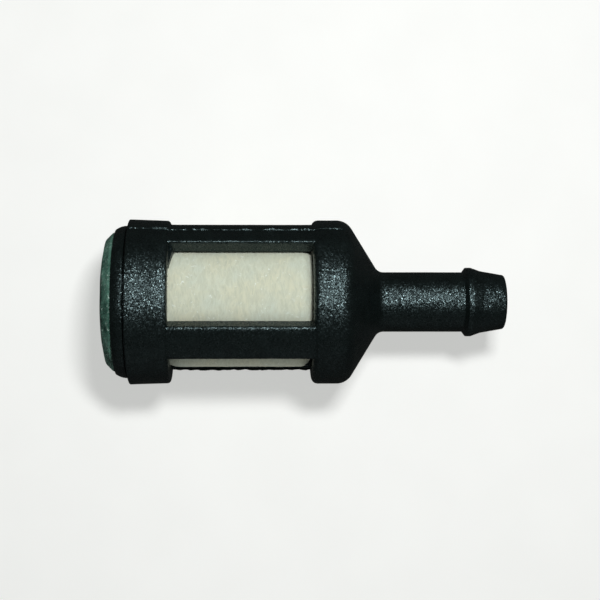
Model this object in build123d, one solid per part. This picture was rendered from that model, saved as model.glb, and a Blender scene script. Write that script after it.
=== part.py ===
from build123d import *
import os
from math import radians, tan

# In-tank fuel filter for a small two-stroke engine, lying on its side.
# X runs along the filter, +X out of the hose barb. The origin is the centre of the barb's mouth.
# Stations are X values and are negative, because the whole filter lies behind the mouth.

# ---- driving dimensions, mm ----
PASSAGE_R = 1.3             # fuel passage through the stem
TIP_R = 2.5                 # barb's small end, before its edge is rounded
TIP_ROUND = 0.25
WAIST_R = 2.88              # the barb tapers quickly to here, then gently to the tip
WAIST_X = -2.23
CREST_R = 3.2               # barb crest, for 5 mm hose
CREST_FRONT_X = -3.13
CREST_LAND = 0.47           # length of the level crest
STEM_R = 2.775
STEM_END_X = -3.92          # foot of the barb's step
STEM_FILLET = 0.9
CONE_FOOT_X = -11.7         # where the cone would meet the stem
CONE_ANGLE = 58.2           # from the filter's axis

FRONT_COLLAR_R = 7.56
SHOULDER_FILLET = 1.6
REAR_COLLAR_BACK_R = 7.62
REAR_COLLAR_FRONT_R = 7.51
REAR_COLLAR_BACK_X = -34.68
WINDOW_REAR_X = -30.8
WINDOW_FRONT_X = -17.9
REAR_WINDOW_ROUND = 0.3
FRONT_WINDOW_ROUND = 0.6
COLLAR_BACK_ROUND = 0.12

RIB_R = 7.43
RIB_WIDTH = 3.46
# Each rib's angle, in degrees from +Z towards +Y, and its width at the felt.
# The ribs on the mould's parting line taper more than the other two.
RIBS = [(-30.5, 3.05), (59.5, 2.36), (149.5, 3.05), (226.6, 2.36)]
RIB_EDGE_ROUND = 0.22
RIB_ROOT = 1.0              # how far a rib runs into each collar
RIB_SPARE = 1.0             # a rib starts this much too tall, and is turned down to RIB_R

BORE_R = 6.05               # room for the felt
ROUGH_BORE_R = 5.5          # the parts are joined at this radius, then bored out
FELT_SEAT_X = -15.63        # the felt's front end
FELT_REAR_X = -31.73        # the felt's rear end, on the weight
FELT_R = 6.0
FELT_BORE_R = 4.3

LIP_R = 7.03
LIP_BACK_R = 6.7
LIP_BACK_X = -35.8
LIP_ROUND_MIDDLE = (-35.56, 6.845)
LIP_MOUTH_R = 6.45
PLUG_SEAT_R = 6.7
PLUG_FRONT_X = -34.53
PLUG_EDGE_X = -35.5         # where the plug's edge starts to lean in under the lip
PLUG_RIM_R = 6.4            # the plug's rim stands proud of the lip
PLUG_RIM_X = -36.08
PLUG_RIM_ROUND = 0.12
PLUG_SHOULDER_R = 5.78
PLUG_SHOULDER_X = -36.68
PLUG_SHOULDER_ROUND = 0.4
PLUG_FACE_R = 4.6           # where the end face starts to level out
PLUG_FACE_X = -36.93
PLUG_FACE_ROUND = 1.5
PLUG_APEX_X = -37.04
PLUG_CORE_R = 4.6           # moulder's hollow in the plug's inner face
PLUG_CORE_DEPTH = 1.1

CORE_R = 4.15
CORE_BORE_R = 3.35
CORE_SOCKET_DEPTH = 0.8     # how far the core plugs into the housing
FUNNEL_LENGTH = 1.8         # taper from the core's bore to the passage
SLOT_ROWS = 5
SLOT_LENGTH = 1.75
SLOT_WIDTH = 4.2
SCREEN_R = FELT_BORE_R

WEIGHT_R = 6.0
WEIGHT_SPIGOT_R = 3.3
WEIGHT_SPIGOT_LENGTH = 1.1
WEIGHT_CHAMFER = 0.3

# ---- values that follow from them ----
CREST_BACK_X = CREST_FRONT_X - CREST_LAND
CONE_SLOPE = tan(radians(CONE_ANGLE))
SHOULDER_X = CONE_FOOT_X - (FRONT_COLLAR_R - STEM_R) / CONE_SLOPE
SOCKET_X = FELT_SEAT_X + CORE_SOCKET_DEPTH
FUNNEL_X = SOCKET_X + FUNNEL_LENGTH


def outline(corners, closing=None):
    """Face in the X-radius plane from (x, r, rounding) corners, closed by an edge or a straight line."""
    points = [(x, r) for x, r, _ in corners]
    if closing:
        face = make_face([Polyline(points), closing])
    else:
        face = make_face(Polyline(points, close=True))
    for x, r, rounding in corners:
        if rounding:
            corner = face.vertices().sort_by_distance((x, r, 0))[0]
            face = fillet(corner, rounding)
    return face


def turned(face):
    """Solid of revolution about the filter's axis."""
    return revolve(face, Axis.X)


def tube(radius, bore, rear_x, front_x):
    """Plain tube along the filter's axis."""
    ring = Circle(radius) - Circle(bore)
    return extrude(Plane.YZ.offset(rear_x) * ring, front_x - rear_x)


def housing_front():
    """Front collar, shoulder cone, stem and barb, with the fuel passage inside."""
    corners = [
        (WINDOW_FRONT_X, ROUGH_BORE_R, 0),
        (WINDOW_FRONT_X, FRONT_COLLAR_R, FRONT_WINDOW_ROUND),
        (SHOULDER_X, FRONT_COLLAR_R, SHOULDER_FILLET),
        (CONE_FOOT_X, STEM_R, STEM_FILLET),
        (STEM_END_X, STEM_R, 0),
        (CREST_BACK_X, CREST_R, 0),
        (CREST_FRONT_X, CREST_R, 0),
        (WAIST_X, WAIST_R, 0),
        (0, TIP_R, TIP_ROUND),
        (0, PASSAGE_R, 0),
        (FUNNEL_X, PASSAGE_R, 0),
        (SOCKET_X, CORE_BORE_R, 0),
        (SOCKET_X, CORE_R, 0),
        (WINDOW_FRONT_X, CORE_R, 0),
    ]
    return turned(outline(corners))


def housing_rear():
    """Rear collar, with the lip that is rolled in over the end plug."""
    lip_round = ThreePointArc((LIP_BACK_X, LIP_BACK_R), LIP_ROUND_MIDDLE, (REAR_COLLAR_BACK_X, LIP_R))
    corners = [
        (REAR_COLLAR_BACK_X, LIP_R, 0),
        (REAR_COLLAR_BACK_X, REAR_COLLAR_BACK_R, COLLAR_BACK_ROUND),
        (WINDOW_REAR_X, REAR_COLLAR_FRONT_R, REAR_WINDOW_ROUND),
        (WINDOW_REAR_X, ROUGH_BORE_R, 0),
        (PLUG_FRONT_X, ROUGH_BORE_R, 0),
        (PLUG_FRONT_X, PLUG_SEAT_R, 0),
        (PLUG_EDGE_X, PLUG_SEAT_R, 0),
        (LIP_BACK_X, LIP_MOUTH_R, 0),
        (LIP_BACK_X, LIP_BACK_R, 0),
    ]
    return turned(outline(corners, lip_round))


def rib_section(inner_width):
    """Cross-section of one rib, upright: a tapered bar with rounded outer corners."""
    half = RIB_WIDTH / 2
    half_in = inner_width / 2
    bar = Polygon(
        (-half_in, ROUGH_BORE_R),
        (half_in, ROUGH_BORE_R),
        (half_in, BORE_R),
        (half, RIB_R),
        (half, RIB_R + RIB_SPARE),
        (-half, RIB_R + RIB_SPARE),
        (-half, RIB_R),
        (-half_in, BORE_R),
        align=None,
    )
    section = bar & Circle(RIB_R)
    return fillet(section.vertices().sort_by(Axis.Y)[-2:], RIB_EDGE_ROUND)


def ribs():
    """The bars that join the two collars and frame the windows."""
    length = WINDOW_FRONT_X - WINDOW_REAR_X + 2 * RIB_ROOT
    start = Plane.YZ.offset(WINDOW_REAR_X - RIB_ROOT)
    return [extrude(start * Rot(0, 0, -angle) * rib_section(width), length) for angle, width in RIBS]


def cage_housing():
    """One moulding: lip, collars, ribs, cone, stem and barb."""
    body = housing_front() + housing_rear()
    for bar in ribs():
        body += bar
    bore = extrude(Plane.YZ.offset(REAR_COLLAR_BACK_X) * Circle(BORE_R), FELT_SEAT_X - REAR_COLLAR_BACK_X)
    return (body - bore).solid()


def end_plug():
    """Domed plug that the lip holds in the housing's rear end."""
    corners = [
        (PLUG_FRONT_X, 0, 0),
        (PLUG_FRONT_X, PLUG_SEAT_R, 0),
        (PLUG_EDGE_X, PLUG_SEAT_R, 0),
        (LIP_BACK_X, LIP_MOUTH_R, 0),
        (PLUG_RIM_X, PLUG_RIM_R, PLUG_RIM_ROUND),
        (PLUG_SHOULDER_X, PLUG_SHOULDER_R, PLUG_SHOULDER_ROUND),
        (PLUG_FACE_X, PLUG_FACE_R, PLUG_FACE_ROUND),
        (PLUG_APEX_X, 0, 0),
    ]
    hollow = extrude(Plane.YZ.offset(PLUG_FRONT_X) * Circle(PLUG_CORE_R), -PLUG_CORE_DEPTH)
    return turned(outline(corners)) - hollow


def sinker_weight():
    """Steel slug between the plug and the felt, with a spigot that closes the core."""
    corners = [
        (PLUG_FRONT_X, 0, 0),
        (PLUG_FRONT_X, WEIGHT_R - WEIGHT_CHAMFER, 0),
        (PLUG_FRONT_X + WEIGHT_CHAMFER, WEIGHT_R, 0),
        (FELT_REAR_X - WEIGHT_CHAMFER, WEIGHT_R, 0),
        (FELT_REAR_X, WEIGHT_R - WEIGHT_CHAMFER, 0),
        (FELT_REAR_X, WEIGHT_SPIGOT_R, 0),
        (FELT_REAR_X + WEIGHT_SPIGOT_LENGTH, WEIGHT_SPIGOT_R, 0),
        (FELT_REAR_X + WEIGHT_SPIGOT_LENGTH, 0, 0),
    ]
    return turned(outline(corners))


def core_frame():
    """Slotted tube that keeps the felt from being sucked flat."""
    core = tube(CORE_R, CORE_BORE_R, FELT_REAR_X, SOCKET_X)
    pitch = (FELT_SEAT_X - FELT_REAR_X - WEIGHT_SPIGOT_LENGTH) / SLOT_ROWS
    first = FELT_REAR_X + WEIGHT_SPIGOT_LENGTH + pitch / 2
    for row in range(SLOT_ROWS):
        slot = Box(SLOT_LENGTH, SLOT_WIDTH, 4 * CORE_R)
        core -= Pos(first + row * pitch, 0, 0) * slot
        core -= Pos(first + row * pitch, 0, 0) * Rot(90, 0, 0) * slot
    return core


def build():
    """Every sub-part by node name."""
    return {
        "cage_housing": cage_housing(),
        "end_plug": end_plug(),
        "sinker_weight": sinker_weight(),
        "felt_element": tube(FELT_R, FELT_BORE_R, FELT_REAR_X, FELT_SEAT_X),
        "core_screen": tube(SCREEN_R, CORE_R, FELT_REAR_X, FELT_SEAT_X),
        "core_frame": core_frame(),
    }


os.makedirs("parts", exist_ok=True)
for node, solid in build().items():
    export_step(solid, f"parts/{node}.step")
    print(node, round(solid.volume, 2), "mm3")
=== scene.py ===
"""In-tank fuel filter: its looks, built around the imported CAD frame."""

import logging
import math
import random
from dataclasses import dataclass, field
from enum import Enum
from typing import Any, Callable, Sequence

import bmesh
import bpy
from mathutils import Matrix, Vector, noise


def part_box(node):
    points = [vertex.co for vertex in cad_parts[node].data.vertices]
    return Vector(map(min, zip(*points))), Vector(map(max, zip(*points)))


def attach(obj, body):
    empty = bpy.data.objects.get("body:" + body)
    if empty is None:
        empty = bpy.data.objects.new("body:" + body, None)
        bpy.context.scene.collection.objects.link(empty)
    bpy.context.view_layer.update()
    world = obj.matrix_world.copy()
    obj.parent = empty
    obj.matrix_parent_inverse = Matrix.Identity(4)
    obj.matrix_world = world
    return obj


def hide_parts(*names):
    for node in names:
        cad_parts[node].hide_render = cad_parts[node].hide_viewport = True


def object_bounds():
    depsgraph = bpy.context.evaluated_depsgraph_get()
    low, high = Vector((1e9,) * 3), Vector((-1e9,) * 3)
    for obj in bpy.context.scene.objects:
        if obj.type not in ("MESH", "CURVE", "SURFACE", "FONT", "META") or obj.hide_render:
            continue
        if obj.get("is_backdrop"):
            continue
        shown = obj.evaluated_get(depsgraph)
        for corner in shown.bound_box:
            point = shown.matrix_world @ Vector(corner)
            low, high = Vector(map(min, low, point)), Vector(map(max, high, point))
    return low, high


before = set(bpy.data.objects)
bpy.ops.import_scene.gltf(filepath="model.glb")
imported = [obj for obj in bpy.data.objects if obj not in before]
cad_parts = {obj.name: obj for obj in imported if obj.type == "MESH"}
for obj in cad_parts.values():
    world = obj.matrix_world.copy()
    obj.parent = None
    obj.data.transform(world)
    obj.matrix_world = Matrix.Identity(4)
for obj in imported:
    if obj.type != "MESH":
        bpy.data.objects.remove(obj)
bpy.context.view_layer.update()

MM = 0.001
WAVE_RATE = 20.0  # radians that the wave texture turns per unit of length at scale 1
BODY = "root"
PIT_SHARE = 0.5          # width of the pits in a moulded facet, as a share of the facet's
PIT_DEPTH_SHARE = 0.045  # and their depth

log = logging.getLogger("fuel_filter")

Point = tuple[float, float]
Corner = tuple[float, float, float]


class Slot(Enum):
    """The record's material slots."""

    NYLON = "black_nylon"
    PLUG = "green_plug"
    STEEL = "zinc_steel"
    FELT = "filter_felt"
    SCREEN = "screen_mesh"
    ACETAL = "natural_acetal"


# ---------------------------------------------------------------- small helpers


def linear(hex_colour: str) -> tuple[float, float, float, float]:
    """Turns an sRGB hex colour into linear RGBA.

    Args:
        hex_colour: Colour such as "#1A2B3C".

    Returns:
        Linear red, green and blue, with alpha 1.
    """
    channels = [int(hex_colour[i : i + 2], 16) / 255 for i in (1, 3, 5)]
    red, green, blue = (c / 12.92 if c <= 0.04045 else ((c + 0.055) / 1.055) ** 2.4 for c in channels)
    return red, green, blue, 1.0


def feed(node: bpy.types.Node, inputs: dict[str | int, Any]) -> None:
    """Links the inputs that a socket drives, and sets plain values on the node's own inputs.

    Args:
        node: Node to feed.
        inputs: Input name or index to a value, or to the socket that drives it.
    """
    for name, value in inputs.items():
        if isinstance(value, bpy.types.NodeSocket):
            node.id_data.links.new(value, node.inputs[name])
        else:
            node.inputs[name].default_value = value


def add_node(
    tree: bpy.types.NodeTree,
    kind: str,
    inputs: dict[str | int, Any] | None = None,
    **settings: Any,
) -> bpy.types.Node:
    """Adds a node with its settings and links.

    Args:
        tree: Node tree to add to.
        kind: Blender's node type name.
        inputs: Input name or index to a value, or to the socket that drives it.
        **settings: Properties of the node itself.

    Returns:
        The new node.
    """
    made = tree.nodes.new(kind)
    for name, value in settings.items():
        setattr(made, name, value)
    feed(made, inputs or {})
    return made


def ramp(
    tree: bpy.types.NodeTree,
    value: bpy.types.NodeSocket,
    stops: Sequence[tuple[float, str]],
) -> bpy.types.Node:
    """Adds a colour ramp.

    Args:
        tree: Node tree to add to.
        value: Socket that runs along the ramp.
        stops: Positions with their hex colours.

    Returns:
        The ramp node.
    """
    made = add_node(tree, "ShaderNodeValToRGB", {"Fac": value})
    elements = made.color_ramp.elements
    while len(elements) < len(stops):
        elements.new(0.5)
    for element, (position, colour) in zip(elements, stops, strict=True):
        element.position = position
        element.color = linear(colour)
    return made


def point_at(x: float, radius: float, angle: float) -> Vector:
    """Place on the filter, in metres.

    Args:
        x: Station along the axis, mm.
        radius: Distance from the axis, mm.
        angle: Degrees from +Z towards +Y.

    Returns:
        The point in the row frame.
    """
    turn = math.radians(angle)
    return Vector((x, radius * math.sin(turn), radius * math.cos(turn))) * MM


def between(low: float, high: float, share: float) -> float:
    """Value that lies a share of the way from low to high.

    Args:
        low: Value at share 0.
        high: Value at share 1.
        share: How far along.

    Returns:
        The value.
    """
    return low + (high - low) * share


def swept(centre: Vector, spoke: Vector, turn: float, steps: int) -> list[Point]:
    """Points that a spoke's end passes as it swings about a centre.

    Args:
        centre: Centre of the swing.
        spoke: From the centre to the first point.
        turn: Clockwise swing, radians.
        steps: Steps along the swing.

    Returns:
        The points, with both ends.
    """
    points = []
    for step in range(steps + 1):
        swing = -turn * step / steps
        points.append((
            centre.x + spoke.x * math.cos(swing) - spoke.y * math.sin(swing),
            centre.y + spoke.x * math.sin(swing) + spoke.y * math.cos(swing),
        ))
    return points


def arc_line(start: Point, middle: Point, end: Point, steps: int = 10) -> list[Point]:
    """Divides the arc through three points.

    Args:
        start: First point, (x, r) in mm.
        middle: Any point between the ends.
        end: Last point.
        steps: Steps along the arc.

    Returns:
        The points after the first, to the last.
    """
    a, b, c = Vector(start), Vector(middle), Vector(end)
    ab, ac = b - a, c - a
    cross = 2 * (ab.x * ac.y - ab.y * ac.x)
    centre = a + Vector((
        ac.y * ab.length_squared - ab.y * ac.length_squared,
        ab.x * ac.length_squared - ac.x * ab.length_squared,
    )) / cross
    first, last = a - centre, c - centre
    return swept(centre, first, first.angle_signed(last), steps)[1:]


def rounded_line(corners: Sequence[Corner], arc_steps: int = 6, longest: float = 0.45) -> list[Point]:
    """Runs a line through corners, with tangent arcs and evenly divided straights.

    Args:
        corners: (x, r, rounding radius) for each corner, mm.
        arc_steps: Steps in each arc.
        longest: Longest step on a straight, mm.

    Returns:
        The points of the line, in order.
    """
    marks: list[Point] = [corners[0][:2]]
    for before, corner, after in zip(corners, corners[1:], corners[2:]):
        here = Vector(corner[:2])
        back = (Vector(before[:2]) - here).normalized()
        ahead = (Vector(after[:2]) - here).normalized()
        if corner[2] == 0:
            marks.append(tuple(here))
            continue
        half = back.angle(ahead) / 2
        middle = here + (back + ahead).normalized() * (corner[2] / math.sin(half))
        start = here + back * (corner[2] / math.tan(half)) - middle
        end = here + ahead * (corner[2] / math.tan(half)) - middle
        marks += swept(middle, start, start.angle_signed(end), arc_steps)
    marks.append(corners[-1][:2])
    line = [marks[0]]
    for start, end in zip(marks, marks[1:]):
        length = math.dist(start, end)
        if length < 1e-6:
            continue
        steps = max(1, math.ceil(length / longest))
        line += [tuple(between(a, b, s / steps) for a, b in zip(start, end)) for s in range(1, steps + 1)]
    return line


class Shell:
    """A mesh gathered from grids of points, then welded where the grids meet."""

    def __init__(self, name: str) -> None:
        """Starts an empty mesh.

        Args:
            name: Name of the piece.
        """
        self.name = name
        self.bm = bmesh.new()

    def grid(self, rows: Sequence[Sequence[Vector]], closed: bool = False) -> None:
        """Adds a grid of quads.

        Args:
            rows: Rows of equally many points.
            closed: Whether each row's last point joins its first.
        """
        made = [[self.bm.verts.new(p) for p in row] for row in rows]
        count = len(made[0])
        for low, high in zip(made, made[1:]):
            for i in range(count if closed else count - 1):
                j = (i + 1) % count
                self.bm.faces.new((low[i], low[j], high[j], high[i]))

    def fan(self, ring: Sequence[Vector], centre: Vector) -> None:
        """Closes a ring with triangles to its centre.

        Args:
            ring: Points of the ring.
            centre: Point in its middle.
        """
        hub = self.bm.verts.new(centre)
        made = [self.bm.verts.new(p) for p in ring]
        for a, b in zip(made, made[1:] + made[:1]):
            self.bm.faces.new((a, b, hub))

    def bar(self, rings: Sequence[Sequence[Vector]]) -> None:
        """Adds a closed bar: rings along its length, with both ends closed.

        Args:
            rings: The rings, from end to end.
        """
        self.grid(rings, closed=True)
        for ring in (rings[0], rings[-1]):
            self.fan(ring, sum(ring, Vector()) / len(ring))

    def finish(
        self,
        shift: Callable[[Vector, Vector], Vector] | None = None,
        sharp_angle: float = 40.0,
    ) -> bpy.types.Object:
        """Welds, shapes and shades the mesh, and puts it on the filter's body.

        Args:
            shift: Gives a point's small displacement from its place and normal.
            sharp_angle: Edges that turn more than this stay crisp, degrees.

        Returns:
            The finished object.
        """
        bmesh.ops.remove_doubles(self.bm, verts=self.bm.verts, dist=1e-7)
        bmesh.ops.recalc_face_normals(self.bm, faces=self.bm.faces)
        self.bm.normal_update()
        for edge in self.bm.edges:
            edge.smooth = len(edge.link_faces) == 2 and edge.calc_face_angle() < math.radians(sharp_angle)
        for face in self.bm.faces:
            face.smooth = True
        if shift:
            moves = [(v, shift(v.co, v.normal)) for v in self.bm.verts]
            for vertex, move in moves:
                vertex.co += move
        mesh = bpy.data.meshes.new(self.name)
        self.bm.to_mesh(mesh)
        self.bm.free()
        made = bpy.data.objects.new(self.name, mesh)
        bpy.context.scene.collection.objects.link(made)
        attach(made, BODY)
        return made


def dress(piece: bpy.types.Object, material: bpy.types.Material) -> None:
    """Gives a piece its one material.

    Args:
        piece: Mesh object.
        material: Finish to put on it.
    """
    piece.data.materials.clear()
    piece.data.materials.append(material)
    log.info("%s: %d faces, %s", piece.name, len(piece.data.polygons), material.name)


# ---------------------------------------------------------------- finishes


@dataclass(frozen=True)
class Finish:
    """What every finish shares: its name, and a material with one Principled shader."""

    name: str

    def start(self) -> tuple[bpy.types.Material, bpy.types.NodeTree, bpy.types.Node, bpy.types.NodeSocket]:
        """Makes the empty material.

        Returns:
            The material, its node tree, its shader and object coordinates in metres.
        """
        material = bpy.data.materials.new(self.name)
        material.use_nodes = True
        tree = material.node_tree
        tree.nodes.clear()
        shader = add_node(tree, "ShaderNodeBsdfPrincipled")
        add_node(tree, "ShaderNodeOutputMaterial", {"Surface": shader.outputs["BSDF"]})
        place = add_node(tree, "ShaderNodeTexCoord").outputs["Object"]
        return material, tree, shader, place

    def around(
        self,
        tree: bpy.types.NodeTree,
        place: bpy.types.NodeSocket,
    ) -> tuple[bpy.types.NodeSocket, bpy.types.NodeSocket]:
        """Turns places into how far along the filter they are, and where round it.

        Args:
            tree: Node tree to add to.
            place: Object coordinates in metres.

        Returns:
            The station in metres and the turn in radians.
        """
        split = add_node(tree, "ShaderNodeSeparateXYZ", {"Vector": place})
        turn = add_node(
            tree, "ShaderNodeMath",
            {0: split.outputs["Y"], 1: split.outputs["Z"]}, operation="ARCTAN2",
        )
        return split.outputs["X"], turn.outputs["Value"]

    def facets(
        self,
        tree: bpy.types.NodeTree,
        place: bpy.types.NodeSocket,
        width: float,
        tilt: float,
        gloss: tuple[float, float],
    ) -> tuple[bpy.types.NodeSocket, bpy.types.NodeSocket]:
        """Adds the tiny facets that a spark-eroded mould leaves, each with its own lean and gloss.

        Args:
            tree: Node tree to add to.
            place: Object coordinates in metres.
            width: Facet width, mm.
            tilt: How far facets lean, as a share of the normal.
            gloss: Roughness of the smoothest and the roughest facets.

        Returns:
            The normal and the roughness.
        """
        cells = add_node(tree, "ShaderNodeTexVoronoi", {"Vector": place, "Scale": 1 / (width * MM)})
        pits = add_node(
            tree, "ShaderNodeTexNoise",
            {"Vector": place, "Scale": 1 / (width * PIT_SHARE * MM), "Detail": 2.0, "Roughness": 0.6},
        )
        pitted = add_node(
            tree, "ShaderNodeBump",
            {"Height": pits.outputs["Fac"], "Strength": 0.6, "Distance": width * PIT_DEPTH_SHARE * MM},
        )
        lean = add_node(
            tree, "ShaderNodeVectorMath",
            {0: cells.outputs["Color"], 1: (0.5, 0.5, 0.5)}, operation="SUBTRACT",
        )
        scaled = add_node(
            tree, "ShaderNodeVectorMath", {0: lean.outputs["Vector"], "Scale": tilt}, operation="SCALE"
        )
        leaning = add_node(
            tree, "ShaderNodeVectorMath",
            {0: pitted.outputs["Normal"], 1: scaled.outputs["Vector"]}, operation="ADD",
        )
        normal = add_node(tree, "ShaderNodeVectorMath", {0: leaning.outputs["Vector"]}, operation="NORMALIZE")
        lot = add_node(
            tree, "ShaderNodeTexWhiteNoise", {"Vector": cells.outputs["Color"]}, noise_dimensions="3D"
        )
        rough = add_node(
            tree, "ShaderNodeMapRange",
            {"Value": lot.outputs["Value"], "From Min": 0.1, "From Max": 0.6,
             "To Min": gloss[0], "To Max": gloss[1]},
        )
        return normal.outputs["Vector"], rough.outputs["Result"]


@dataclass(frozen=True)
class TexturedNylon(Finish):
    """Black glass-filled nylon, moulded in a spark-eroded cavity.

    The eroded steel leaves tiny facets at every angle, some of them smoother than others, so
    under a lamp the almost black surface has a grey haze with bright pin-points in it.
    """

    name: str = "moulded_glass_filled_nylon"
    colour: str = "#060A09"
    worn_colour: str = "#0C1211"
    gleam: str = "#D6F8FC"
    ior: float = 1.53
    facet_mm: float = 0.078
    facet_tilt: float = 0.5
    gloss: tuple[float, float] = (0.27, 0.42)
    patch_mm: float = 1.4

    def material(self) -> bpy.types.Material:
        """Builds the material.

        Returns:
            The material.
        """
        material, tree, shader, place = self.start()
        patches = add_node(
            tree, "ShaderNodeTexNoise",
            {"Vector": place, "Scale": 1 / (self.patch_mm * MM), "Detail": 3.0, "Roughness": 0.55},
        )
        base = ramp(tree, patches.outputs["Fac"], [(0.35, self.colour), (0.75, self.worn_colour)])
        normal, rough = self.facets(tree, place, self.facet_mm, self.facet_tilt, self.gloss)
        feed(shader, {
            "Base Color": base.outputs["Color"], "Roughness": rough, "Normal": normal,
            "IOR": self.ior, "Specular Tint": linear(self.gleam),
        })
        return material


@dataclass(frozen=True)
class PressedFelt(Finish):
    """Wool and polyester felt, pressed and wrapped round the core.

    Most fibres lie round the sleeve, so the pale surface shows soft short streaks that way, with painted
    shade in the hollows between them.
    Stray fibre ends catch the light, shown as small pale flecks of painted highlight, and the wool stays
    faintly blotched.
    """

    name: str = "pressed_filter_felt"
    warm: str = "#CDD0B9"
    cool: str = "#C7D0C0"
    # Colour of the painted shade in the hollows between fibres.
    shade: str = "#BDC3B0"
    # Colour of the painted highlight flecks.
    fleck_painted_highlight: str = "#DFE7DF"
    fibre_mm: float = 0.14
    fibre_run_mm: float = 0.6
    fibre_slants: tuple[float, ...] = (-15.0, -4.0, 6.0, 19.0)
    fleck_mm: float = 0.16
    fibre_depth_mm: float = 0.04
    blotch_mm: float = 2.8
    sleeve_r: float = 6.0

    def material(self) -> bpy.types.Material:
        """Builds the material.

        Returns:
            The material.
        """
        material, tree, shader, place = self.start()
        along, turn = self.around(tree, place)
        arc = add_node(
            tree, "ShaderNodeMath",
            {0: turn, 1: self.sleeve_r * MM}, operation="MULTIPLY",
        )
        wrapped = add_node(
            tree, "ShaderNodeCombineXYZ",
            {"X": along, "Y": arc.outputs["Value"]},
        )
        layers = [
            self.strands(tree, wrapped.outputs["Vector"], slant, index)
            for index, slant in enumerate(self.fibre_slants)
        ]
        tangle = layers[0]
        for layer in layers[1:]:
            higher = add_node(tree, "ShaderNodeMath", {0: tangle, 1: layer}, operation="MAXIMUM")
            tangle = higher.outputs["Value"]
        blotches = add_node(
            tree, "ShaderNodeTexNoise",
            {"Vector": place, "Scale": 1 / (self.blotch_mm * MM), "Detail": 4.0, "Roughness": 0.6},
        )
        hue = ramp(tree, blotches.outputs["Fac"], [(0.38, self.cool), (0.6, self.warm)])
        depth = add_node(
            tree, "ShaderNodeMapRange", {"Value": tangle, "From Min": 0.44, "From Max": 0.66}
        )
        # Painted shade: the lower the fibres, the more the colour goes to the shade colour.
        pile_with_painted_shade = add_node(
            tree, "ShaderNodeMix",
            {"Factor": depth.outputs["Result"], "A": linear(self.shade), "B": hue.outputs["Color"]},
            data_type="RGBA",
        )
        # Painted highlight: small pale flecks where stray fibre ends would catch the light.
        ends = add_node(
            tree, "ShaderNodeTexNoise",
            {"Vector": place, "Scale": 0.5 / (self.fleck_mm * MM), "Detail": 1.0, "Distortion": 1.2},
        )
        painted_highlight_share = add_node(
            tree, "ShaderNodeMapRange", {"Value": ends.outputs["Fac"], "From Min": 0.67, "From Max": 0.8}
        )
        base = add_node(
            tree, "ShaderNodeMix",
            {"Factor": painted_highlight_share.outputs["Result"], "A": pile_with_painted_shade.outputs["Result"], "B": linear(self.fleck_painted_highlight)},
            data_type="RGBA",
        )
        bump = add_node(
            tree, "ShaderNodeBump",
            {"Height": depth.outputs["Result"], "Strength": 0.5, "Distance": self.fibre_depth_mm * MM},
        )
        feed(shader, {
            "Base Color": base.outputs["Result"], "Normal": bump.outputs["Normal"],
            "Roughness": 0.95, "Sheen Weight": 0.15, "Specular IOR Level": 0.2,
        })
        return material

    def strands(
        self,
        tree: bpy.types.NodeTree,
        wrapped: bpy.types.NodeSocket,
        slant: float,
        layer: int,
    ) -> bpy.types.NodeSocket:
        """Adds one layer of fibres that all lie nearly the same way.

        Args:
            tree: Node tree to add to.
            wrapped: Coordinates along and round the sleeve.
            slant: Degrees away from lying round the sleeve.
            layer: Number of the layer, which moves its pattern.

        Returns:
            The layer's height.
        """
        turned = add_node(
            tree, "ShaderNodeMapping", {"Vector": wrapped, "Rotation": (0, 0, math.radians(slant))}
        )
        stretched = add_node(
            tree, "ShaderNodeMapping",
            {"Vector": turned.outputs["Vector"], "Location": (layer * 7.3, layer * 3.1, 0),
             "Scale": (0.5 / (self.fibre_mm * MM), 0.5 / (self.fibre_run_mm * MM), 1.0)},
        )
        return add_node(
            tree, "ShaderNodeTexNoise",
            {"Vector": stretched.outputs["Vector"], "Scale": 1.0, "Detail": 2.0, "Roughness": 0.55,
             "Distortion": 0.5},
        ).outputs["Fac"]


@dataclass(frozen=True)
class MouldedPlugNylon(Finish):
    """Dull green nylon, moulded with a fine texture and then handled.

    The texture scatters its shine into a glitter, and flow clouding, rubbed patches and pale
    specks of dust break up the green.
    """

    name: str = "moulded_green_nylon"
    colour: str = "#1D3F35"
    pale: str = "#557F70"
    speck: str = "#8FA89D"
    ior: float = 1.53
    facet_mm: float = 0.11
    facet_tilt: float = 0.5
    gloss: tuple[float, float] = (0.2, 0.42)
    cloud_mm: float = 1.1
    speck_mm: float = 0.16

    def material(self) -> bpy.types.Material:
        """Builds the material.

        Returns:
            The material.
        """
        material, tree, shader, place = self.start()
        clouds = add_node(
            tree, "ShaderNodeTexNoise",
            {"Vector": place, "Scale": 0.5 / (self.cloud_mm * MM), "Detail": 6.0, "Roughness": 0.68,
             "Distortion": 0.4},
        )
        dust = add_node(
            tree, "ShaderNodeTexNoise",
            {"Vector": place, "Scale": 0.5 / (self.speck_mm * MM), "Detail": 3.0, "Roughness": 0.7},
        )
        flow = ramp(tree, clouds.outputs["Fac"], [(0.38, self.colour), (0.62, self.pale)])
        dusty = add_node(
            tree, "ShaderNodeMapRange", {"Value": dust.outputs["Fac"], "From Min": 0.58, "From Max": 0.7}
        )
        base = add_node(
            tree, "ShaderNodeMix",
            {"Factor": dusty.outputs["Result"], "A": flow.outputs["Color"], "B": linear(self.speck)},
            data_type="RGBA",
        )
        normal, rough = self.facets(tree, place, self.facet_mm, self.facet_tilt, self.gloss)
        feed(shader, {
            "Base Color": base.outputs["Result"], "Roughness": rough, "Normal": normal, "IOR": self.ior,
        })
        return material


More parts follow.
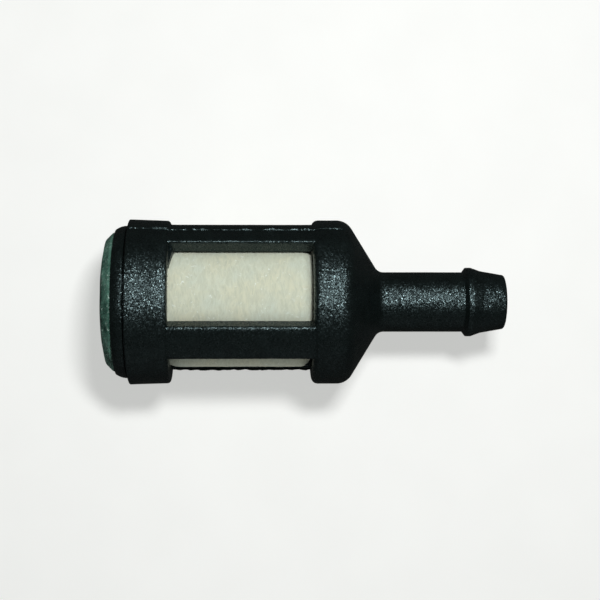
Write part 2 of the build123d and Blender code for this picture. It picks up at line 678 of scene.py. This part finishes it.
@dataclass(frozen=True)
class ZincPlate(Finish):
    """Turned steel with bright zinc plating: a grey metal with fine lathe rings."""

    name: str = "zinc_plated_turned_steel"
    colour: str = "#B4B8B6"
    shade: str = "#8F9492"
    ring_mm: float = 0.2262
    stain_mm: float = 1.2

    def material(self) -> bpy.types.Material:
        """Builds the material.

        Returns:
            The material.
        """
        material, tree, shader, place = self.start()
        flat = add_node(tree, "ShaderNodeMapping", {"Vector": place, "Scale": (0.0, 1.0, 1.0)})
        rings = add_node(
            tree, "ShaderNodeTexWave",
            {"Vector": flat.outputs["Vector"], "Scale": math.tau / WAVE_RATE / (self.ring_mm * MM),
             "Distortion": 0.6, "Detail": 2.0},
            wave_type="RINGS", rings_direction="SPHERICAL",
        )
        stains = add_node(
            tree, "ShaderNodeTexNoise", {"Vector": place, "Scale": 1 / (self.stain_mm * MM), "Detail": 4.0}
        )
        base = ramp(tree, stains.outputs["Fac"], [(0.35, self.shade), (0.7, self.colour)])
        bump = add_node(
            tree, "ShaderNodeBump",
            {"Height": rings.outputs["Fac"], "Strength": 0.6, "Distance": 0.01 * MM},
        )
        feed(shader, {
            "Base Color": base.outputs["Color"], "Normal": bump.outputs["Normal"],
            "Metallic": 1.0, "Roughness": 0.34,
        })
        return material


@dataclass(frozen=True)
class WovenScreen(Finish):
    """Woven nylon monofilament: pale crossing threads, with the open squares between them painted dark as
    painted shade.
    """

    name: str = "woven_nylon_monofilament"
    colour: str = "#E4E4DC"
    # Colour of the painted shade in the open squares of the weave.
    gap: str = "#4A4A42"
    thread_pitch_mm: float = 0.22
    screen_r: float = 4.3

    def material(self) -> bpy.types.Material:
        """Builds the material.

        Returns:
            The material.
        """
        material, tree, shader, place = self.start()
        along, turn = self.around(tree, place)
        threads_round = math.tau * self.screen_r / self.thread_pitch_mm
        hoops = add_node(
            tree, "ShaderNodeMath",
            {0: along, 1: math.tau / (self.thread_pitch_mm * MM)}, operation="MULTIPLY",
        )
        spokes = add_node(
            tree, "ShaderNodeMath", {0: turn, 1: threads_round}, operation="MULTIPLY"
        )
        crests = [
            add_node(tree, "ShaderNodeMath", {0: angle.outputs["Value"]}, operation="SINE")
            for angle in (hoops, spokes)
        ]
        weave = add_node(
            tree, "ShaderNodeMath",
            {0: crests[0].outputs["Value"], 1: crests[1].outputs["Value"]}, operation="MAXIMUM",
        )
        # Painted shade: the open squares between threads take the dark gap colour.
        base = ramp(tree, weave.outputs["Value"], [(0.1, self.gap), (0.4, self.colour)])
        bump = add_node(
            tree, "ShaderNodeBump",
            {"Height": weave.outputs["Value"], "Strength": 0.8, "Distance": 0.03 * MM},
        )
        feed(shader, {
            "Base Color": base.outputs["Color"], "Normal": bump.outputs["Normal"], "Roughness": 0.4,
        })
        return material


@dataclass(frozen=True)
class NaturalAcetal(Finish):
    """Uncoloured acetal, moulded smooth: milky white with a waxy sheen."""

    name: str = "moulded_natural_acetal"
    colour: str = "#E9E6DA"
    shade: str = "#DAD6C6"
    ior: float = 1.48
    cloud_mm: float = 1.5

    def material(self) -> bpy.types.Material:
        """Builds the material.

        Returns:
            The material.
        """
        material, tree, shader, place = self.start()
        clouds = add_node(
            tree, "ShaderNodeTexNoise", {"Vector": place, "Scale": 1 / (self.cloud_mm * MM), "Detail": 4.0}
        )
        base = ramp(tree, clouds.outputs["Fac"], [(0.35, self.shade), (0.7, self.colour)])
        bump = add_node(
            tree, "ShaderNodeBump",
            {"Height": clouds.outputs["Fac"], "Strength": 0.3, "Distance": 0.02 * MM},
        )
        feed(shader, {
            "Base Color": base.outputs["Color"], "Normal": bump.outputs["Normal"],
            "Roughness": 0.45, "IOR": self.ior,
        })
        return material


@dataclass(frozen=True)
class PaperSweep(Finish):
    """White card under the filter, with the faint tooth of paper."""

    name: str = "white_card"
    colour: str = "#B6B7B5"
    shade: str = "#B2B3B1"
    glow: float = 1.15
    tooth_mm: float = 6.0

    def material(self) -> bpy.types.Material:
        """Builds the material.

        Returns:
            The material.
        """
        material, tree, shader, place = self.start()
        tooth = add_node(
            tree, "ShaderNodeTexNoise", {"Vector": place, "Scale": 1 / (self.tooth_mm * MM), "Detail": 3.0}
        )
        base = ramp(tree, tooth.outputs["Fac"], [(0.3, self.shade), (0.7, self.colour)])
        feed(shader, {
            "Base Color": base.outputs["Color"], "Roughness": 0.9,
            "Emission Color": linear(self.colour), "Emission Strength": self.glow,
        })
        return material


# ---------------------------------------------------------------- the filter's pieces


@dataclass
class Rib:
    """One bar of the cage: its angle from +Z towards +Y, and its width at the felt, mm."""

    angle: float
    inner_width: float


@dataclass
class CageMoulding:
    """The black cage: rolled lip, two collars, ribs, cone, stem and barb in one shell. Sizes in mm."""

    bore_r: float = 6.05
    rib_r: float = 7.43
    rib_width: float = 3.46
    rib_round: float = 0.3
    ribs: list[Rib] = field(default_factory=lambda: [
        Rib(-30.5, 3.05), Rib(59.5, 2.36), Rib(149.5, 3.05), Rib(226.6, 2.36),
    ])
    parting_angle: float = 61.3
    window_rear_x: float = -30.8
    window_front_x: float = -17.9
    rear_window_round: float = 0.3
    front_window_round: float = 0.6
    front_collar_r: float = 7.56
    rear_collar_front_r: float = 7.51
    rear_collar_back_r: float = 7.62
    rear_collar_back_x: float = -34.58
    lip_r: float = 7.03
    lip_back_r: float = 6.7
    lip_middle_x: float = -35.56
    lip_middle_r: float = 6.845
    lip_mouth_r: float = 6.45
    lip_groove_r: float = 6.8
    lip_groove_width: float = 0.17
    lip_groove_round: float = 0.03
    collar_back_round: float = 0.12
    passage_round: float = 0.12
    tip_round: float = 0.25
    stem_round: float = 0.9
    plug_seat_r: float = 6.7
    plug_edge_x: float = -35.5
    plug_front_x: float = -34.53
    felt_seat_x: float = -15.63
    socket_r: float = 4.15
    socket_depth: float = 0.8
    core_bore_r: float = 3.35
    funnel_length: float = 1.8
    passage_r: float = 1.3
    stem_r: float = 2.775
    stem_end_x: float = -3.92
    crest_r: float = 3.2
    crest_back_x: float = -3.6
    crest_front_x: float = -3.13
    tip_r: float = 2.5
    waist_r: float = 2.88
    waist_x: float = -2.23
    cone_foot_x: float = -11.7
    cone_angle: float = 58.2
    shoulder_round: float = 1.6
    sink_run: float = 3.1
    sink_depth: float = 0.014
    ripple_run: float = 0.7
    ripple_depth: float = 0.005
    skin_shrink: float = 0.016
    rib_top_steps: int = 14
    window_steps: int = 30
    side_steps: int = 6
    run_steps: int = 48

    def __post_init__(self) -> None:
        """Takes the shell's two ends from the CAD housing."""
        low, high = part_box("cage_housing")
        self.back_x = low.x / MM
        self.tip_x = high.x / MM
        slope = math.tan(math.radians(self.cone_angle))
        self.shoulder_x = self.cone_foot_x - (self.front_collar_r - self.stem_r) / slope

    def wall_x(self, radius: float, rear: bool) -> float:
        """Station of a collar's window face at a radius, with its rounded edge.

        Args:
            radius: Distance from the axis, mm.
            rear: Whether it is the rear collar's face.

        Returns:
            The station, mm.
        """
        collar = self.rear_collar_front_r if rear else self.front_collar_r
        rounding = self.rear_window_round if rear else self.front_window_round
        face = self.window_rear_x if rear else self.window_front_x
        rise = max(0.0, radius - (collar - rounding))
        inset = rounding - math.sqrt(max(0.0, rounding**2 - rise**2))
        return face - inset if rear else face + inset

    def rib_side(self, rib: Rib) -> list[tuple[float, float]]:
        """Half of a rib's outline, from the top's edge round the corner and down to the bore.

        Args:
            rib: The rib.

        Returns:
            (degrees from the rib's middle, radius in mm) for each point.
        """
        half, half_in = self.rib_width / 2, rib.inner_width / 2
        corner = Vector((half, math.sqrt(self.rib_r**2 - half**2)))
        foot = Vector((half_in, math.sqrt(self.bore_r**2 - half_in**2)))
        swing = self.rib_round / self.rib_r
        edge = math.asin(half / self.rib_r) - swing
        first = Vector((math.sin(edge), math.cos(edge))) * self.rib_r
        last = corner + (foot - corner).normalized() * self.rib_round
        outline = []
        for step in range(6):
            t = step / 5
            outline.append(first * (1 - t) ** 2 + corner * (2 * t * (1 - t)) + last * t**2)
        for step in range(1, self.side_steps + 1):
            outline.append(last.lerp(foot, step / self.side_steps))
        return [(math.degrees(math.atan2(p.x, p.y)), p.length) for p in outline]

    def neighbours(self) -> list[tuple[Rib, Rib, float]]:
        """Pairs each rib with the next one round.

        Returns:
            The rib, the next rib, and the next rib's angle counted on from this one's, degrees.
        """
        after = self.ribs[1:] + self.ribs[:1]
        laps = [0.0] * (len(self.ribs) - 1) + [360.0]
        return [(rib, nxt, nxt.angle + lap) for rib, nxt, lap in zip(self.ribs, after, laps)]

    def columns(self, level: int) -> list[float]:
        """Angles round the whole cage at one level of the ribs' outlines.

        Args:
            level: Index into rib_side: 0 at the ribs' tops, -1 at the bore.

        Returns:
            Angles in degrees, rising, one turn in all.
        """
        angles: list[float] = []
        for rib, after, next_angle in self.neighbours():
            reach = self.rib_side(rib)[level][0]
            next_reach = self.rib_side(after)[level][0]
            angles += [
                between(rib.angle - reach, rib.angle + reach, i / self.rib_top_steps)
                for i in range(self.rib_top_steps)
            ]
            angles += [
                between(rib.angle + reach, next_angle - next_reach, i / self.window_steps)
                for i in range(self.window_steps)
            ]
        return angles

    def rear_profile(self) -> list[Point]:
        """Line from the rear window face's bore edge, round the lip, to the ribs' level.

        Returns:
            Stations and radii, mm.
        """
        top = self.rear_collar_front_r
        inside = rounded_line([
            (self.window_rear_x, self.bore_r, 0),
            (self.plug_front_x, self.bore_r, 0),
            (self.plug_front_x, self.plug_seat_r, 0),
            (self.plug_edge_x, self.plug_seat_r, 0),
            (self.back_x, self.lip_mouth_r, 0),
        ])
        rim = (self.back_x, self.lip_back_r)
        groove_x = self.rear_collar_back_x - self.lip_groove_width
        lip = arc_line(rim, (self.lip_middle_x, self.lip_middle_r), (groove_x, self.lip_r))
        outside = rounded_line([
            (groove_x, self.lip_r, 0),
            (groove_x + self.lip_groove_round, self.lip_groove_r, self.lip_groove_round),
            (self.rear_collar_back_x, self.lip_groove_r, self.lip_groove_round),
            (self.rear_collar_back_x, self.rear_collar_back_r, self.collar_back_round),
            (self.window_rear_x - self.rear_window_round, top, 0),
        ], arc_steps=8)
        return inside + [rim] + lip + outside[1:] + self.window_edge(rear=True)

    def window_edge(self, rear: bool) -> list[Point]:
        """Rounded edge of a collar, from its surface down to the ribs' tops.

        Args:
            rear: Whether it is the rear collar's edge.

        Returns:
            Stations and radii, mm.
        """
        collar = self.rear_collar_front_r if rear else self.front_collar_r
        steps = 4
        radii = [between(collar, self.rib_r, i / steps) for i in range(1, steps + 1)]
        return [(self.wall_x(r, rear), r) for r in radii]

    def front_profile(self) -> list[Point]:
        """Line from the front window face's bore edge, through the barb, to the ribs' level.

        Returns:
            Stations and radii, mm.
        """
        socket_x = self.felt_seat_x + self.socket_depth
        inside = rounded_line([
            (self.window_front_x, self.bore_r, 0),
            (self.felt_seat_x, self.bore_r, 0),
            (self.felt_seat_x, self.socket_r, 0),
            (socket_x, self.socket_r, 0),
            (socket_x, self.core_bore_r, 0),
            (socket_x + self.funnel_length, self.passage_r, 0),
            (self.tip_x, self.passage_r, self.passage_round),
            (self.tip_x, self.tip_r, self.tip_round),
            (self.waist_x, self.waist_r, 0.9),
            (self.crest_front_x, self.crest_r, 0.25),
            (self.crest_back_x, self.crest_r, 0.1),
            (self.stem_end_x, self.stem_r, 0.12),
            (self.cone_foot_x, self.stem_r, self.stem_round),
            (self.shoulder_x, self.front_collar_r, self.shoulder_round),
            (self.window_front_x + self.front_window_round, self.front_collar_r, 0),
        ], arc_steps=8)
        return inside + self.window_edge(rear=False)

    def turned_skin(self, shell: Shell, profile: Sequence[Point]) -> None:
        """Adds a collar's skin all round, from the bore edge to the ribs' level.

        Args:
            shell: Mesh to add to.
            profile: Stations and radii, mm.
        """
        inner, outer = self.columns(-1), self.columns(0)
        last = len(profile) - 1
        rows = []
        for index, (x, radius) in enumerate(profile):
            share = index / last
            rows.append([point_at(x, radius, between(a, b, share)) for a, b in zip(inner, outer)])
        shell.grid(rows, closed=True)

    def window_walls(self, shell: Shell) -> None:
        """Adds the collars' faces at the ends of each window.

        Args:
            shell: Mesh to add to.
        """
        for rib, after, next_angle in self.neighbours():
            sides = list(zip(self.rib_side(rib), self.rib_side(after)))
            for rear in (True, False):
                rows = []
                for (reach, radius), (next_reach, next_radius) in sides:
                    row = []
                    for step in range(self.window_steps + 1):
                        share = step / self.window_steps
                        here = between(radius, next_radius, share)
                        angle = between(rib.angle + reach, next_angle - next_reach, share)
                        row.append(point_at(self.wall_x(here, rear), here, angle))
                    rows.append(row)
                shell.grid(rows)

    def rib_skins(self, shell: Shell) -> None:
        """Adds the top, both sides and the underside of every rib.

        Args:
            shell: Mesh to add to.
        """
        for rib in self.ribs:
            side = self.rib_side(rib)
            left = [(rib.angle - reach, radius) for reach, radius in side]
            right = [(rib.angle + reach, radius) for reach, radius in side]
            top = [
                (between(left[0][0], right[0][0], i / self.rib_top_steps), self.rib_r)
                for i in range(self.rib_top_steps + 1)
            ]
            under = [
                (between(left[-1][0], right[-1][0], i / self.rib_top_steps), self.bore_r)
                for i in range(self.rib_top_steps + 1)
            ]
            for line in (top, left, right, under):
                rows = []
                for step in range(self.run_steps + 1):
                    share = step / self.run_steps
                    rows.append([
                        point_at(between(self.wall_x(r, True), self.wall_x(r, False), share), r, angle)
                        for angle, r in line
                    ])
                shell.grid(rows)

    def build(self) -> bpy.types.Object:
        """Builds the shell.

        Returns:
            The cage object, which stands for the CAD housing.
        """
        shell = Shell("cage_moulding")
        self.turned_skin(shell, self.rear_profile())
        self.turned_skin(shell, self.front_profile())
        self.window_walls(shell)
        self.rib_skins(shell)
        cage = shell.finish(self.waver)
        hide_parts("cage_housing")
        return cage

    def waver(self, place: Vector, normal: Vector) -> Vector:
        """Shallow sinks that a moulding's skin shows.

        Args:
            place: Point on the skin.
            normal: Its normal.

        Returns:
            The small move, always inwards.
        """
        sinks = self.sink_depth * noise.noise(place / (self.sink_run * MM))
        ripples = self.ripple_depth * noise.noise(place / (self.ripple_run * MM) + Vector((7.0, 3.0, 1.0)))
        return normal * MM * (sinks + ripples - self.skin_shrink)


@dataclass
class MouldMarks:
    """Marks that the mould left on the cage: thin flash, and a web in one window. Sizes in mm."""

    cage: CageMoulding
    flash_width: float = 0.22
    flash_height: float = 0.13
    root: float = 0.04
    step: float = 0.11
    mean_share: float = 0.62
    ragged_share: float = 0.75
    least_share: float = 0.08
    waves_per_mm: float = 1.6
    lean_share: float = 0.25
    lower_turn: float = 178.0
    lower_height: float = 0.156
    web_angles: tuple[float, float] = (50.0, 30.5)
    web_height: float = 0.4
    web_depth: float = 0.35
    web_least: float = 0.1
    web_spread: float = 0.46

    def skin(self) -> list[Point]:
        """Outer line of the cage along a rib, from the rear collar to the barb's tip.

        Returns:
            Stations and radii, mm.
        """
        rear = self.cage.rear_profile()
        front = self.cage.front_profile()
        start = max(i for i, (x, _) in enumerate(rear) if x <= self.cage.rear_collar_back_x + 0.01)
        tip = max(i for i, (x, _) in enumerate(front) if x >= self.cage.tip_x - 0.01)
        return rear[start:] + front[: tip - 1 : -1]

    def radius_at(self, x: float, skin: Sequence[Point]) -> float:
        """Radius of the outer line at a station.

        Args:
            x: Station, mm.
            skin: The outer line.

        Returns:
            The radius, mm.
        """
        for (x0, r0), (x1, r1) in zip(skin, skin[1:]):
            if x0 <= x <= x1 and x1 > x0:
                return between(r0, r1, (x - x0) / (x1 - x0))
        return skin[-1][1]

    def flash(self, name: str, angle: float, start: float, end: float, height: float) -> bpy.types.Object:
        """Builds one ragged line of flash, as a thin closed ridge.

        Args:
            name: Name of the piece.
            angle: Degrees from +Z towards +Y.
            start: Rear station.
            end: Front station.
            height: Greatest height over the skin.

        Returns:
            The ridge.
        """
        skin = self.skin()
        draw = random.Random(name)
        steps = math.ceil((end - start) / self.step)
        shell = Shell(name)
        rows = []
        for index in range(steps + 1):
            x = between(start, end, index / steps)
            radius = self.radius_at(x, skin)
            ragged = self.ragged_share * noise.noise(Vector((x * self.waves_per_mm, angle, 0)))
            lift = height * max(self.least_share, self.mean_share + ragged)
            lift *= 1.0 if 0 < index < steps else 0.1
            swing = math.degrees(self.flash_width / 2 / radius)
            lean = draw.uniform(-self.lean_share, self.lean_share) * swing
            rows.append([
                point_at(x, radius - self.root, angle - swing),
                point_at(x, radius + lift * 0.75, angle - swing * 0.35 + lean),
                point_at(x, radius + lift, angle + lean),
                point_at(x, radius - self.root, angle + swing),
            ])
        shell.bar(rows)
        return shell.finish(sharp_angle=60)

    def web(self) -> bpy.types.Object:
        """Builds the small web that fills one corner of the upper window.

        Returns:
            The web.
        """
        wall = self.cage.window_rear_x - 0.05
        foot = self.cage.bore_r - self.web_depth
        top = self.cage.bore_r + self.web_height
        shell = Shell("window_web")
        rows = []
        for step in range(9):
            share = step / 8
            angle = between(*self.web_angles, share)
            edge = wall + self.web_least + self.web_spread * (1 - share)
            rows.append([
                point_at(wall, foot, angle),
                point_at(edge, foot, angle),
                point_at(edge - 0.04, top - 0.06, angle),
                point_at(edge - 0.12, top, angle),
                point_at(wall, top, angle),
            ])
        shell.bar(rows)
        return shell.finish()

    def build(self) -> list[bpy.types.Object]:
        """Builds every mark.

        Returns:
            The pieces, which are skin-deep additions to the cage.
        """
        near = self.cage.parting_angle
        rear = self.cage.rear_collar_back_x + 0.15
        return [
            self.flash("flash_upper", near, rear, self.cage.shoulder_x - 0.4, self.flash_height),
            self.flash("flash_lower", near + self.lower_turn, rear, -0.6, self.lower_height),
            self.web(),
        ]


@dataclass
class FeltSleeve:
    """The felt element, which the cage pinches and which swells in each window. Sizes in mm."""

    cage: CageMoulding
    bore_r: float = 4.3
    pinch: float = 0.3
    pinch_reach: float = 1.5
    pinch_under: float = 0.45
    tuck: float = 0.62
    tuck_reach: float = 1.0
    tuft_along: float = 0.25
    tuft_round: float = 0.9
    swell: float = 2.2
    tuft_height: float = 0.02
    shrink: float = 0.03
    columns: int = 360
    rows: int = 160

    def __post_init__(self) -> None:
        """Takes the sleeve's ends and radius from the CAD."""
        low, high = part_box("felt_element")
        self.rear_x = low.x / MM
        self.front_x = high.x / MM
        self.radius = high.z / MM

    def build(self) -> bpy.types.Object:
        """Builds the sleeve.

        Returns:
            The sleeve, which stands for the CAD felt.
        """
        shell = Shell("felt_sleeve")
        outline = [(self.rear_x, self.bore_r)]
        outline += [
            (between(self.rear_x, self.front_x, i / self.rows), self.radius) for i in range(self.rows + 1)
        ]
        outline += [(self.front_x, self.bore_r), (self.rear_x, self.bore_r)]
        rows = [
            [point_at(x, r, 360 * c / self.columns) for c in range(self.columns)] for x, r in outline
        ]
        shell.grid(rows, closed=True)
        sleeve = shell.finish(self.nap)
        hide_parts("felt_element")
        return sleeve

    def nap(self, place: Vector, normal: Vector) -> Vector:
        """Uneven nap of the felt.

        Args:
            place: Point on the sleeve.
            normal: Its normal.

        Returns:
            The small move.
        """
        angle = math.atan2(place.y, place.z)
        lie = Vector((place.x / MM / self.tuft_along, angle * self.radius / self.tuft_round, 3.0))
        tufts = (noise.noise(lie) + noise.noise(place / (self.swell * MM))) * self.tuft_height
        if math.hypot(place.y, place.z) < (self.bore_r + self.radius) / 2 * MM:
            return normal * MM * (tufts - self.shrink)
        pinched = self.pinch * (1 - self.freedom(place.x / MM, math.degrees(angle)))
        clear = min(1.0, max(0.0, (self.cage.window_front_x - place.x / MM) / self.tuck_reach))
        return normal * MM * (tufts - self.shrink - pinched - self.tuck * (1 - clear) ** 2)

    def freedom(self, x: float, angle: float) -> float:
        """How free the felt is to swell: 0 under the cage, 1 out in a window.

        Args:
            x: Station, mm.
            angle: Degrees from +Z towards +Y.

        Returns:
            The freedom.
        """
        ends = min(x - self.cage.window_rear_x, self.cage.window_front_x - x)
        sides = min(
            math.radians(abs((angle - rib.angle + 180) % 360 - 180)) * self.radius - rib.inner_width / 2
            for rib in self.cage.ribs
        )
        free = 1.0
        for gap in (ends, sides):
            share = min(1.0, max(0.0, (gap + self.pinch_under) / self.pinch_reach))
            free *= math.sin(share * math.pi / 2)
        return free


@dataclass
class DomedPlug:
    """The green plug under the rolled lip. Sizes in mm."""

    seat_r: float = 6.68
    edge_x: float = -35.5
    mouth_x: float = -35.8
    mouth_r: float = 6.43
    rim_x: float = -36.08
    rim_r: float = 6.39
    shoulder_x: float = -36.68
    shoulder_r: float = 5.78
    face_x: float = -36.93
    face_r: float = 4.6
    hollow_r: float = 4.6
    hollow_depth: float = 1.1
    gate_r: float = 0.55
    gate_depth: float = 0.12
    sink_run: float = 1.7
    sink_depth: float = 0.022
    columns: int = 180

    def __post_init__(self) -> None:
        """Takes the plug's ends from the CAD."""
        low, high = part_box("end_plug")
        self.apex_x = low.x / MM
        self.front_x = high.x / MM

    def build(self) -> bpy.types.Object:
        """Builds the plug.

        Returns:
            The plug, which stands for the CAD plug.
        """
        gate_floor = self.apex_x + self.gate_depth
        crown = rounded_line([
            (self.front_x - self.hollow_depth, self.hollow_r, 0),
            (self.front_x, self.hollow_r, 0),
            (self.front_x, self.seat_r, 0),
            (self.edge_x, self.seat_r, 0.1),
            (self.mouth_x, self.mouth_r, 0.1),
            (self.rim_x, self.rim_r, 0.12),
            (self.shoulder_x, self.shoulder_r, 0.4),
            (self.face_x, self.face_r, 1.5),
            (self.apex_x, self.gate_r * 1.8, 0.3),
            (self.apex_x, self.gate_r, 0.04),
            (gate_floor, self.gate_r * 0.85, 0.04),
            (gate_floor, self.gate_r * 0.1, 0),
        ], arc_steps=8, longest=0.3)
        shell = Shell("domed_plug")
        rows = [[point_at(x, r, 360 * c / self.columns) for c in range(self.columns)] for x, r in crown]
        shell.grid(rows, closed=True)
        shell.fan(rows[0], point_at(crown[0][0], 0, 0))
        shell.fan(rows[-1], point_at(crown[-1][0], 0, 0))
        plug = shell.finish(self.sink)
        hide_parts("end_plug")
        return plug

    def sink(self, place: Vector, normal: Vector) -> Vector:
        """Shallow unevenness of a thick moulding's skin.

        Args:
            place: Point on the skin.
            normal: Its normal.

        Returns:
            The small move, always inwards.
        """
        return normal * MM * self.sink_depth * (noise.noise(place / (self.sink_run * MM)) - 1)


@dataclass(frozen=True)
class Lamp:
    """A rectangular lamp: its place and two sides in mm, and its power in watts."""

    name: str
    place: tuple[float, float, float]
    sides: tuple[float, float]
    power: float

    def hang(self, aim: Sequence[float]) -> None:
        """Hangs the lamp.

        Args:
            aim: What it points at, mm.
        """
        data = bpy.data.lights.new(self.name, "AREA")
        data.shape = "RECTANGLE"
        data.size, data.size_y = self.sides[0] * MM, self.sides[1] * MM
        data.energy = self.power
        made = bpy.data.objects.new(self.name, data)
        made.visible_camera = False
        made.location = Vector(self.place) * MM
        made.rotation_euler = (Vector(self.place) - Vector(aim)).to_track_quat("Z", "Y").to_euler()
        bpy.context.scene.collection.objects.link(made)


@dataclass
class Studio:
    """White card, lamps and camera. Lengths in mm."""

    lamps: tuple[Lamp, ...] = (
        Lamp("key", (-2, 40, 132), (26, 16), 0.18),
        Lamp("overhead_soft", (-20, 40, 420), (420, 420), 0.04),
        Lamp("low_fill", (-19, -600, 75), (700, 120), 0.125),
    )
    surroundings: str = "#F2F4F2"
    surroundings_strength: float = 0.035
    card_size: float = 3600.0
    view_distance: float = 131.35
    lens: float = 85.2
    foot_x: float = -23.26
    aim_x: float = -18.91
    aim_y: float = 0.185

    def card(self) -> bpy.types.Object:
        """Lays the white card under the filter.

        Returns:
            The card.
        """
        floor_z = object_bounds()[0].z
        shell = bmesh.new()
        half = self.card_size * MM / 2
        corners = [(-half, -half), (half, -half), (half, half), (-half, half)]
        shell.faces.new([shell.verts.new((x, y, floor_z)) for x, y in corners])
        mesh = bpy.data.meshes.new("white_card")
        shell.to_mesh(mesh)
        shell.free()
        card = bpy.data.objects.new("white_card", mesh)
        card.data.materials.append(PaperSweep().material())
        card.visible_glossy = False
        bpy.context.scene.collection.objects.link(card)
        card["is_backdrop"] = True
        return card

    def build(self) -> None:
        """Sets up the card, the lamps, the surroundings and the camera."""
        self.card()
        for lamp in self.lamps:
            lamp.hang((self.aim_x, 0, 0))
        world = bpy.data.worlds.new("studio")
        world.use_nodes = True
        feed(world.node_tree.nodes["Background"], {
            "Color": linear(self.surroundings), "Strength": self.surroundings_strength,
        })
        bpy.context.scene.world = world
        camera = bpy.data.objects.new("camera", bpy.data.cameras.new("camera"))
        camera.data.lens = self.lens
        camera.data.clip_start = 0.005
        camera.location = Vector((self.foot_x, self.aim_y, self.view_distance)) * MM
        back = (camera.location - Vector((self.aim_x, self.aim_y, 0)) * MM).normalized()
        right = Vector((0, 1, 0)).cross(back).normalized()
        turn = Matrix((right, back.cross(right), back)).transposed()
        camera.rotation_euler = turn.to_euler()
        bpy.context.scene.collection.objects.link(camera)
        bpy.context.scene.camera = camera
        bpy.context.scene.view_settings.view_transform = "Standard"


def inner_parts() -> None:
    """Dresses the pieces inside the felt, which keep their CAD shapes."""
    finishes = {
        "core_frame": (NaturalAcetal(), Slot.ACETAL),
        "core_screen": (WovenScreen(), Slot.SCREEN),
        "sinker_weight": (ZincPlate(), Slot.STEEL),
    }
    for node, (finish, slot) in finishes.items():
        dress(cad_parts[node], finish.material())


def main() -> None:
    """Builds every piece in order, then the studio."""
    logging.basicConfig(level=logging.INFO, format="%(name)s %(message)s")
    nylon = TexturedNylon().material()
    cage = CageMoulding()
    dress(cage.build(), nylon)
    for mark in MouldMarks(cage).build():
        dress(mark, nylon)
    dress(FeltSleeve(cage).build(), PressedFelt().material())
    dress(DomedPlug().build(), MouldedPlugNylon().material())
    inner_parts()
    Studio().build()


if __name__ == "__main__":
    main()
